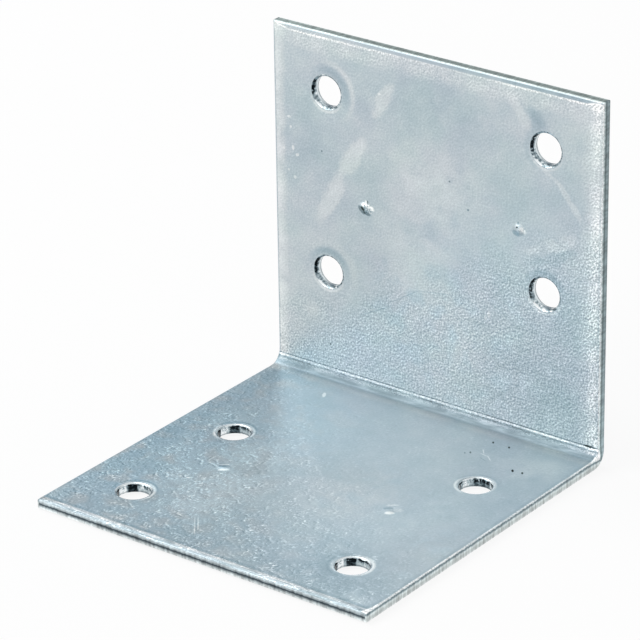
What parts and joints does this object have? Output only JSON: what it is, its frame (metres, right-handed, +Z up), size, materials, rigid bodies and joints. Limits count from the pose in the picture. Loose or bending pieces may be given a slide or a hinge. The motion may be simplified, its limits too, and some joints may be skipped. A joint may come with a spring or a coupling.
{
  "type": "corner brace bracket",
  "caption": "Wide right-angle corner brace folded from zinc-plated sheet steel, with staggered round screw holes in both legs.",
  "frame": {"origin": "bottom centre of the bounding box, in the plane of the base leg's underside", "axes": "+X along the fold, +Y out of the upright leg's back face, +Z up; the base leg runs forward along -Y from the heel"},
  "size_m": [0.0604, 0.06, 0.0585],
  "materials": {
    "zinc_plated_steel": "bright zinc plating with a pale blue passivation over cold-rolled sheet steel, semi-gloss"
  },
  "bodies": {
    "root": {"bracket": "zinc_plated_steel"}
  },
  "joints": []
}
